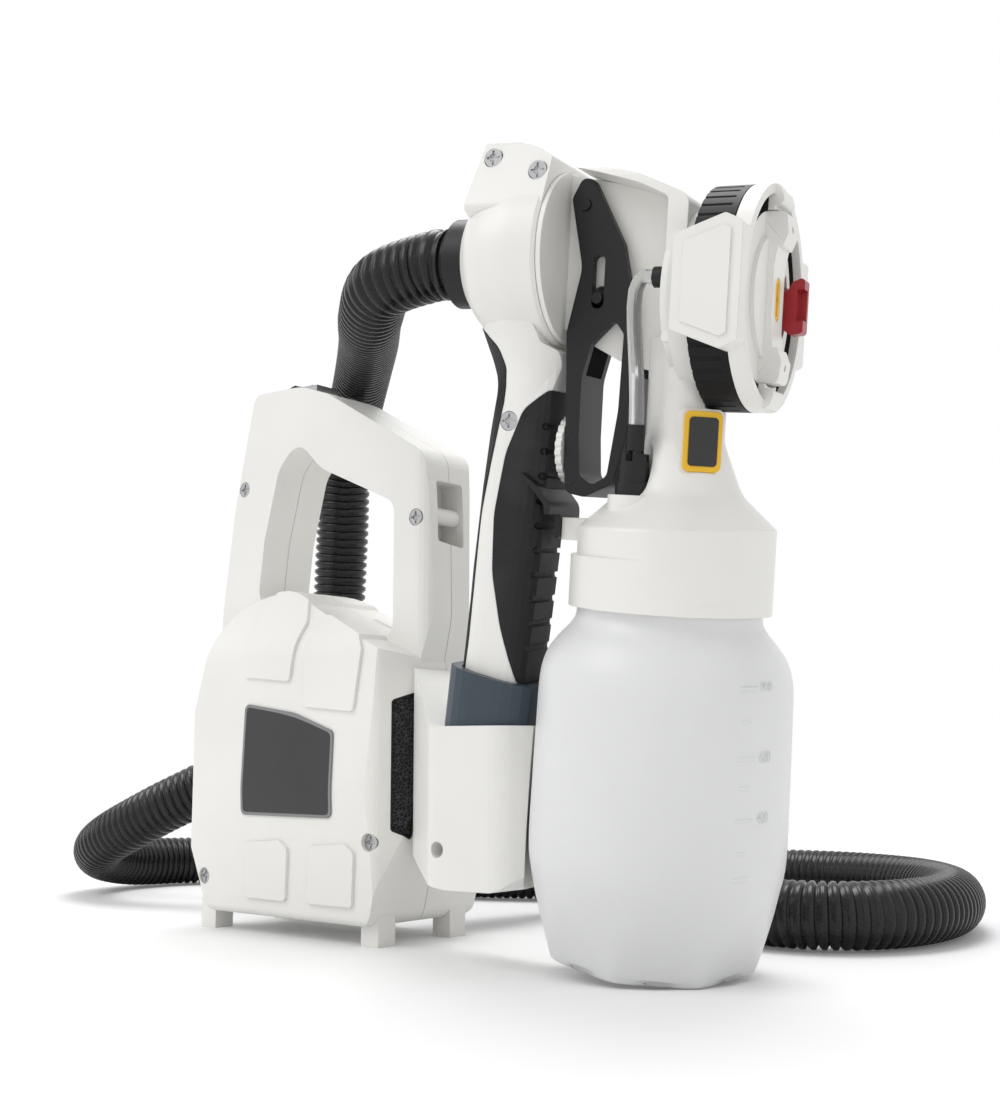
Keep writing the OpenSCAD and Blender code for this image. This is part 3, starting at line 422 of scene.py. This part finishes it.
# ---- meshes ----
def new_piece(name, mesh, material, body):
    """Puts the mesh, already in the row's frame, in the scene and on its body."""
    mesh.materials.clear()
    mesh.materials.append(material)
    piece = bpy.data.objects.new(name, mesh)
    bpy.context.scene.collection.objects.link(piece)
    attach(piece, body)
    return piece


def to_mesh(shape, name, smooth=True):
    bmesh.ops.recalc_face_normals(shape, faces=shape.faces)
    mesh = bpy.data.meshes.new(name)
    shape.to_mesh(mesh)
    shape.free()
    for polygon in mesh.polygons:
        polygon.use_smooth = smooth
    return mesh


def add_wall(piece, name, thickness):
    """Gives an open surface a wall that grows inwards."""
    wall = piece.modifiers.new(name, "SOLIDIFY")
    wall.thickness = thickness
    wall.offset = -1


def bevel(shape, edges, offset, segments):
    bmesh.ops.bevel(shape, geom=edges, offset=offset, offset_type="OFFSET", segments=segments, profile=0.5,
                    affect="EDGES", material=-1)


def wrapped_grid(around, along, place, groove=None):
    """A grid whose columns close into a tube: place(i, j) is a vertex's point, and groove holds each row's depth."""
    shape = bmesh.new()
    layer = shape.verts.layers.float.new("groove") if groove else None
    bmesh.ops.create_grid(shape, x_segments=around, y_segments=along, size=1.0)
    for vertex in shape.verts:
        i = round((vertex.co.x + 1) / 2 * around)
        j = round((vertex.co.y + 1) / 2 * along)
        vertex.co = place(i % around, j)
        if groove:
            vertex[layer] = groove[j]
    bmesh.ops.remove_doubles(shape, verts=shape.verts, dist=1e-7)
    return shape


def rounded_plate(wide, tall, corner, thick):
    """A plate in X and Z whose outline and front rim are rounded; its face is thick in front of Y 0."""
    shape = bmesh.new()
    plate = bmesh.ops.create_cube(shape, size=1.0)["verts"]
    bmesh.ops.scale(shape, vec=Vector((wide, 2 * thick, tall)) * MM, verts=plate)
    upright = [edge for edge in shape.edges if abs(edge.verts[0].co.y - edge.verts[1].co.y) > thick * MM]
    bevel(shape, upright, corner * MM, 6)
    front = [edge for edge in shape.edges if all(vertex.co.y < -0.9 * thick * MM for vertex in edge.verts)]
    bevel(shape, front, 0.35 * thick * MM, 3)
    return shape


def wall_radius(height):
    """The container's outside radius at a height, both in millimetres."""
    wall = CONTAINER_PROFILE[WALL_START:]
    for (r0, z0), (r1, z1) in zip(wall, wall[1:]):
        if z0 <= height <= z1:
            return r0 + (r1 - r0) * (height - z0) / (z1 - z0)
    raise ValueError("no wall at this height")


def smooth_route(points, steps):
    """A Catmull-Rom curve through the points, with the given steps to each of them."""
    ends = [2 * points[0] - points[1]] + points + [2 * points[-1] - points[-2]]
    route = []
    for a, b, c, d in zip(ends, ends[1:], ends[2:], ends[3:]):
        for k in range(steps):
            t = k / steps
            route.append((2 * b + (c - a) * t + (2 * a - 5 * b + 4 * c - d) * t * t
                          + (3 * b - a - 3 * c + d) * t * t * t) / 2)
    return route + [points[-1]]


def even_route(points, spacing):
    """The same line, cut into equal lengths close to spacing, and its whole length."""
    lengths = [0.0]
    for a, b in zip(points, points[1:]):
        lengths.append(lengths[-1] + (b - a).length)
    count = round(lengths[-1] / spacing)
    even, k = [], 0
    for i in range(count + 1):
        target = lengths[-1] * i / count
        while k < len(points) - 2 and lengths[k + 1] < target:
            k += 1
        share = (target - lengths[k]) / (lengths[k + 1] - lengths[k])
        even.append(points[k].lerp(points[k + 1], share))
    return even, lengths[-1]


def carried_frames(points):
    """Two axes across the line at each point, carried along it without twist."""
    frames = []
    side = Vector((0, 0, 1))
    for i in range(len(points)):
        along = (points[min(i + 1, len(points) - 1)] - points[max(i - 1, 0)]).normalized()
        side = (side - along * side.dot(along)).normalized()
        frames.append((side, along.cross(side)))
    return frames


# ---- settings ----
def colour_setting(name, description, default):
    return bpy.props.FloatVectorProperty(name=name, description=description, subtype="COLOR", size=3, min=0, max=1,
                                         default=default)


def length_setting(name, description, default, low, high):
    return bpy.props.FloatProperty(name=name, description=description, default=default, min=low, max=high,
                                   unit="LENGTH")


class FinishSettings(bpy.types.PropertyGroup):
    white: colour_setting("White", "Colour of the white mouldings", (0.83, 0.822, 0.79))
    black: colour_setting("Black", "Colour of the black mouldings", (0.009, 0.009, 0.0095))
    slate: colour_setting("Slate", "Colour of the ring round the gun's grip", (0.032, 0.05, 0.068))
    yellow: colour_setting("Yellow", "Colour of the tip and setting plate", (0.86, 0.50, 0.02))
    red: colour_setting("Red", "Colour of the jet lever", (0.33, 0.012, 0.02))
    milky: colour_setting("Milky", "Colour of the container", (0.90, 0.905, 0.91))


class HoseSettings(bpy.types.PropertyGroup):
    diameter: length_setting("Diameter", "Diameter over the hose's ribs", 0.030, 0.02, 0.04)
    pitch: length_setting("Rib pitch", "Distance from one rib to the next", 0.0046, 0.003, 0.01)
    groove: length_setting("Groove depth", "Depth of the grooves between ribs", 0.0021, 0.0005, 0.004)
    around: bpy.props.IntProperty(name="Segments", description="Segments around the hose", default=34, min=16, max=64)


class ContainerSettings(bpy.types.PropertyGroup):
    softness: length_setting("Softness", "How softly the foot's flats run into the wall", 0.0006, 0.0002, 0.004)
    around: bpy.props.IntProperty(name="Segments", description="Segments around the container", default=128, min=64,
                                  max=256)


class MarkSettings(bpy.types.PropertyGroup):
    bearing: bpy.props.FloatProperty(name="Bearing", description="Where the marks stand round the container",
                                     default=math.radians(-33), subtype="ANGLE")
    raised: length_setting("Height", "How far the marks stand proud", 0.0004, 0.0001, 0.001)


class StageSettings(bpy.types.PropertyGroup):
    floor: colour_setting("Floor", "Colour of the floor", (0.84, 0.84, 0.84))
    glow: bpy.props.FloatProperty(name="Floor white", description="How much white the camera sees on top of the floor",
                                  default=0.08, min=0, max=0.5)
    fill: bpy.props.FloatProperty(name="Fill light", description="Strength of the even light from all sides",
                                  default=0.70, min=0, max=2)


# ---- operators ----
class SPRAYER_OT_camera(bpy.types.Operator):
    """Places the camera low in front of the sprayer's right side"""

    bl_idname = "sprayer.camera"
    bl_label = "Camera"

    def execute(self, context):
        data = bpy.data.cameras.new("camera")
        data.sensor_fit = "HORIZONTAL"
        data.sensor_width = CAMERA_SENSOR
        data.lens = CAMERA_LENS
        data.clip_start = 0.01
        data.clip_end = 50
        camera = bpy.data.objects.new("camera", data)
        camera.location = CAMERA_PLACE
        camera.rotation_euler = CAMERA_TURN
        context.scene.collection.objects.link(camera)
        context.scene.camera = camera
        return {"FINISHED"}


class SPRAYER_OT_hose(bpy.types.Operator):
    """Models the corrugated air hose along its route"""

    bl_idname = "sprayer.hose"
    bl_label = "Air hose"

    def execute(self, context):
        settings = context.scene.sprayer_hose
        points = smooth_route([HOUSING @ (Vector(point) * MM) for point in HOSE_ROUTE], HOSE_ROUTE_STEPS)
        ribs, length = even_route(points, settings.pitch)
        rib_count = len(ribs) - 1
        fine, _ = even_route(points, length / rib_count / STEPS_PER_RIB)
        axes = carried_frames(fine)
        stations = [((rib + share) * STEPS_PER_RIB, depth) for rib in range(rib_count) for share, depth in RIB_SECTION]
        stations.append((rib_count * STEPS_PER_RIB, RIB_SECTION[0][1]))
        radius = settings.diameter / 2

        def place(i, j):
            at, depth = stations[j]
            k = min(int(at), len(fine) - 2)
            centre = fine[k].lerp(fine[k + 1], at - k)
            side, up = axes[k]
            turn = math.tau * i / settings.around
            around = side * math.cos(turn) + up * math.sin(turn)
            return centre + around * (radius - depth * settings.groove)

        shape = wrapped_grid(settings.around, len(stations) - 1, place, [depth for _, depth in stations])
        hose = new_piece("corrugated_hose", to_mesh(shape, "hose_ribs"),
                         corrugated_plastic("hose_black", context.scene.sprayer_finish.black), "base")
        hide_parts("air_hose")
        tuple(points[0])
        return {"FINISHED"}


class SPRAYER_OT_finishes(bpy.types.Operator):
    """Gives every CAD node its moulded, metal, rubber, foam or clear finish"""

    bl_idname = "sprayer.finishes"
    bl_label = "Finishes"

    def execute(self, context):
        colours = context.scene.sprayer_finish
        paint(HOUSING_NODES, spark_texture("housing_white", colours.white, 0.38, 0.00005))
        paint(GUN_WHITE_NODES, spark_texture("gun_white", colours.white, 0.30, 0.00003))
        paint(HANDLE_NODES, handle_plastic(colours))
        paint(JET_NODES, jet_plastic_with_painted_groove_shade(colours))
        paint(BLACK_NODES, spark_texture("black_plastic", colours.black, 0.40, 0.00004, gloss=0.35))
        paint(["union_nut"], spark_texture("nut_black", colours.black, 0.50, 0.00004, gloss=0.2))
        paint(["label_plate"], label_plastic("label_grey", (0.024, 0.024, 0.026), (0.22, 0.22, 0.225)))
        paint(["holder_ring"], spark_texture("slate_plastic", colours.slate, 0.34, 0.00004))
        paint(YELLOW_NODES, spark_texture("yellow_plastic", colours.yellow, 0.32, 0.00002))
        paint(["jet_lever"], spark_texture("red_plastic", colours.red, 0.28, 0.00002))
        paint(RUBBER_NODES, grip_rubber("grip_rubber", (0.013, 0.013, 0.014)))
        paint(["filter_foam"], foam_with_painted_pore_shade("filter_foam", (0.02, 0.02, 0.021)))
        paint(STEEL_NODES, zinc_steel("zinc_steel", (0.46, 0.46, 0.47), 0.30))
        paint(DARK_STEEL_NODES, zinc_steel("dark_steel", (0.035, 0.035, 0.037), 0.45))
        paint(MILKY_NODES, milky_plastic("feed_plastic", colours.milky))
        paint(["vent_tube"], clear_vinyl("clear_tube", (0.84, 0.84, 0.84)))
        paint(["air_hose"], corrugated_plastic("hose_core", colours.black))
        return {"FINISHED"}


class SPRAYER_OT_container(bpy.types.Operator):
    """Models the blow-moulded container, whose foot is pressed into flats"""

    bl_idname = "sprayer.container"
    bl_label = "Container"

    def execute(self, context):
        settings = context.scene.sprayer_container
        profile = smooth_route([Vector((radius, height, 0)) for radius, height in CONTAINER_PROFILE], CONTAINER_STEPS)
        blend = settings.softness / MM

        def place(i, j):
            turn = math.tau * (i + 0.5) / settings.around
            radius, height = profile[j].x, profile[j].y
            off = (turn * FOOT_FLATS / math.tau) % 1.0 - 0.5
            flat = (FOOT_FLAT_R + FOOT_FLAT_SLOPE * height) / math.cos(off * math.tau / FOOT_FLATS)
            # A smooth lesser of the round wall and the flat
            share = max(0.0, min(1.0, 0.5 + (flat - radius) / (2 * blend)))
            pressed = flat + (radius - flat) * share - blend * share * (1 - share)
            if height > FOOT_EDGE or radius > FOOT_FLAT_R - FOOT_EDGE:
                radius = min(radius, pressed)
            return Vector((radius * math.cos(turn), radius * math.sin(turn), height)) * MM

        shape = wrapped_grid(settings.around, len(profile) - 1, place)
        middle = [edge for edge in shape.edges if edge.is_boundary
                  and all(vertex.co.z < 0.1 for vertex in edge.verts)]
        bmesh.ops.edgeloop_fill(shape, edges=middle)
        bmesh.ops.transform(shape, matrix=GUN, verts=shape.verts)
        container = new_piece("paint_container", to_mesh(shape, "paint_container"),
                              milky_plastic("container_plastic", context.scene.sprayer_finish.milky), "container")
        add_wall(container, "wall", CONTAINER_WALL * MM)
        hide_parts("container")
        return {"FINISHED"}


class SPRAYER_OT_marks(bpy.types.Operator):
    """Adds the raised graduation marks and their numbers to the container"""

    bl_idname = "sprayer.marks"
    bl_label = "Graduation marks"

    def execute(self, context):
        settings = context.scene.sprayer_marks
        shape = bmesh.new()
        for height, long in GRADUATIONS:
            radius = wall_radius(height) * MM
            half = long * MM / radius / 2
            middle = settings.bearing - (0 if long > LONG_MARK else SHORT_MARK_SHIFT) * half
            for vertex in bmesh.ops.create_grid(shape, x_segments=10, y_segments=2, size=1.0)["verts"]:
                turn = middle + vertex.co.x * half
                # The bar's middle line stands proud, and its rim is sunk in the wall
                crest = min(1.0, (1 - abs(vertex.co.x)) * 8) if abs(vertex.co.y) < 0.5 else 0.0
                r = radius + settings.raised * crest - MARK_SUNK * MM
                vertex.co = Vector((r * math.cos(turn), r * math.sin(turn),
                                    (height + vertex.co.y * MARK_HALF_H) * MM))
        bmesh.ops.transform(shape, matrix=GUN, verts=shape.verts)
        material = spark_texture("mark_plastic", (0.78, 0.79, 0.795), 0.34, 0.00001)
        marks = new_piece("graduation_marks", to_mesh(shape, "graduation_marks"), material, "container")
        add_wall(marks, "thickness", MARK_WALL * MM)
        for text, height in NUMBERS.items():
            self.number(context, text, height, settings, material)
        return {"FINISHED"}

    def number(self, context, text, height, settings, material):
        """Bends a raised number round the container's wall"""
        curve = bpy.data.curves.new("number", "FONT")
        curve.body = text
        curve.size = NUMBER_SIZE * MM
        curve.extrude = settings.raised / 2
        curve.align_x = "CENTER"
        curve.align_y = "CENTER"
        holder = bpy.data.objects.new("number", curve)
        context.scene.collection.objects.link(holder)
        mesh = bpy.data.meshes.new_from_object(holder.evaluated_get(context.evaluated_depsgraph_get()))
        bpy.data.objects.remove(holder)
        radius = wall_radius(height) * MM
        for vertex in mesh.vertices:
            turn = settings.bearing + NUMBER_TURN + vertex.co.x * NUMBER_SQUEEZE / radius
            r = radius + vertex.co.z
            vertex.co = GUN @ Vector((r * math.cos(turn), r * math.sin(turn), height * MM + vertex.co.y))
        new_piece("number_" + text, mesh, material, "container")


class SPRAYER_OT_setting_window(bpy.types.Operator):
    """Sets the dark window into the yellow setting plate"""

    bl_idname = "sprayer.setting_window"
    bl_label = "Setting window"

    def execute(self, context):
        shape = rounded_plate(WINDOW_WIDE, WINDOW_TALL, WINDOW_CORNER, WINDOW_THICK)
        place = (GUN @ Matrix.Translation(Vector(PAD_CENTRE) * MM) @ Matrix.Rotation(PAD_TURN, 4, "Z")
                 @ Matrix.Translation((0, PAD_FACE * MM, 0)))
        bmesh.ops.transform(shape, matrix=place, verts=shape.verts)
        new_piece("setting_window", to_mesh(shape, "setting_window", smooth=False),
                  spark_texture("window_black", (0.02, 0.02, 0.022), 0.22, 0.00001, 0.0003, 0.04), "base")
        return {"FINISHED"}


class SPRAYER_OT_dial_scale(bpy.types.Operator):
    """Adds the raised marks beside the volume dial, from less to more, to the trigger"""

    bl_idname = "sprayer.dial_scale"
    bl_label = "Dial marks"

    def execute(self, context):
        shape = bmesh.new()
        for drop, wide, tall in DIAL_MARKS:
            bar = bmesh.ops.create_cube(shape, size=1.0)["verts"]
            bmesh.ops.scale(shape, vec=Vector((wide, DIAL_MARK_THICK, tall)) * MM, verts=bar)
            bmesh.ops.translate(shape, vec=(Vector(DIAL_SCALE_CENTRE) - Vector((0, 0, drop))) * MM, verts=bar)
        bevel(shape, shape.edges[:], 0.00012, 2)
        bmesh.ops.transform(shape, matrix=GUN, verts=shape.verts)
        new_piece("dial_marks", to_mesh(shape, "dial_marks"),
                  spark_texture("mark_black", context.scene.sprayer_finish.black, 0.3, 0.00001, 0.0001, 0.0), "trigger")
        return {"FINISHED"}


class SPRAYER_OT_stage(bpy.types.Operator):
    """Sets the pale floor, the studio lights and the plain white surroundings"""

    bl_idname = "sprayer.stage"
    bl_label = "Stage"

    def execute(self, context):
        settings = context.scene.sprayer_stage
        self.floor(context, settings)
        self.surroundings(context, settings)
        for name, (place, size, power) in LAMPS.items():
            self.lamp(context, name, place, size, power)
        context.scene.view_settings.view_transform = "Standard"
        return {"FINISHED"}

    def floor(self, context, settings):
        """A round floor that keeps the shadow and fades out before its edge"""
        shape = bmesh.new()
        bmesh.ops.create_circle(shape, cap_ends=True, segments=96, radius=FLOOR_R)
        mesh = bpy.data.meshes.new("floor")
        shape.to_mesh(mesh)
        shape.free()
        floor = bpy.data.objects.new("floor", mesh)
        context.scene.collection.objects.link(floor)
        finish = Finish("floor_paint")
        tone = finish.noise(3, 2).ramp(0.3, 0.7)
        finish.set(Base_Color=finish.mix(tone, rgb(settings.floor), rgb(settings.floor, 1.01)), Roughness=0.6,
                   Specular_IOR_Level=0.15)
        seen = finish.node("ShaderNodeLightPath", output="Is Camera Ray")
        glow = finish.node("ShaderNodeEmission", {}, {"Strength": seen * settings.glow})
        lit = finish.node("ShaderNodeAddShader", {}, {0: Wire(finish, finish.shader.outputs[0]), 1: glow})
        clear = finish.node("ShaderNodeBsdfTransparent")
        away = finish.vector("LENGTH", finish.where(), output="Value").ramp(*FLOOR_FADE)
        finish.show(finish.node("ShaderNodeMixShader", {}, {0: away, 1: lit, 2: clear}))
        mesh.materials.append(finish.material)

    def surroundings(self, context, settings):
        """White where the camera, a reflection or clear plastic looks out, and an even fill light elsewhere"""
        world = bpy.data.worlds.new("studio")
        world.use_nodes = True
        context.scene.world = world
        studio = Graph(world.node_tree, "ShaderNodeOutputWorld")
        direct = studio.node("ShaderNodeLightPath", output="Is Camera Ray")
        for kind in ("Is Glossy Ray", "Is Transmission Ray"):
            direct = direct.math("MAXIMUM", studio.node("ShaderNodeLightPath", output=kind))
        fill = studio.node("ShaderNodeBackground", {}, {"Color": WHITE, "Strength": settings.fill})
        plain = studio.node("ShaderNodeBackground", {}, {"Color": WHITE, "Strength": 1.0})
        studio.show(studio.node("ShaderNodeMixShader", {}, {0: direct, 1: fill, 2: plain}))

    def lamp(self, context, name, place, size, power):
        data = bpy.data.lights.new(name, "AREA")
        data.shape = "SQUARE"
        data.size = size
        data.energy = power
        lamp = bpy.data.objects.new(name, data)
        lamp.location = place
        lamp.rotation_euler = (LAMP_AIM - Vector(place)).to_track_quat("-Z", "Y").to_euler()
        context.scene.collection.objects.link(lamp)


class SPRAYER_PT_panel(bpy.types.Panel):
    """Lists the sprayer's settings and pieces"""

    bl_idname = "SPRAYER_PT_panel"
    bl_label = "Turbine Paint Sprayer"
    bl_space_type = "VIEW_3D"
    bl_region_type = "UI"
    bl_category = "Sprayer"

    def draw(self, context):
        for group_name in GROUPS:
            group = getattr(context.scene, group_name)
            box = self.layout.box()
            for name in group.bl_rna.properties.keys():
                if name not in ("rna_type", "name"):
                    box.prop(group, name)
        for operator in OPERATORS:
            self.layout.operator(operator.bl_idname)


GROUPS = {"sprayer_finish": FinishSettings, "sprayer_hose": HoseSettings, "sprayer_container": ContainerSettings,
          "sprayer_marks": MarkSettings, "sprayer_stage": StageSettings}
OPERATORS = [SPRAYER_OT_camera, SPRAYER_OT_hose, SPRAYER_OT_finishes, SPRAYER_OT_container, SPRAYER_OT_marks,
             SPRAYER_OT_setting_window, SPRAYER_OT_dial_scale, SPRAYER_OT_stage]


def register():
    for name, group in GROUPS.items():
        bpy.utils.register_class(group)
        setattr(bpy.types.Scene, name, bpy.props.PointerProperty(type=group))
    for operator in OPERATORS:
        bpy.utils.register_class(operator)
    bpy.utils.register_class(SPRAYER_PT_panel)


def unregister():
    bpy.utils.unregister_class(SPRAYER_PT_panel)
    for operator in reversed(OPERATORS):
        bpy.utils.unregister_class(operator)
    for name, group in GROUPS.items():
        delattr(bpy.types.Scene, name)
        bpy.utils.unregister_class(group)


def main():
    register()
    bpy.ops.sprayer.camera()
    bpy.ops.sprayer.hose()
    bpy.ops.sprayer.finishes()
    bpy.ops.sprayer.container()
    bpy.ops.sprayer.marks()
    bpy.ops.sprayer.setting_window()
    bpy.ops.sprayer.dial_scale()
    bpy.ops.sprayer.stage()


if __name__ == "__main__":
    main()
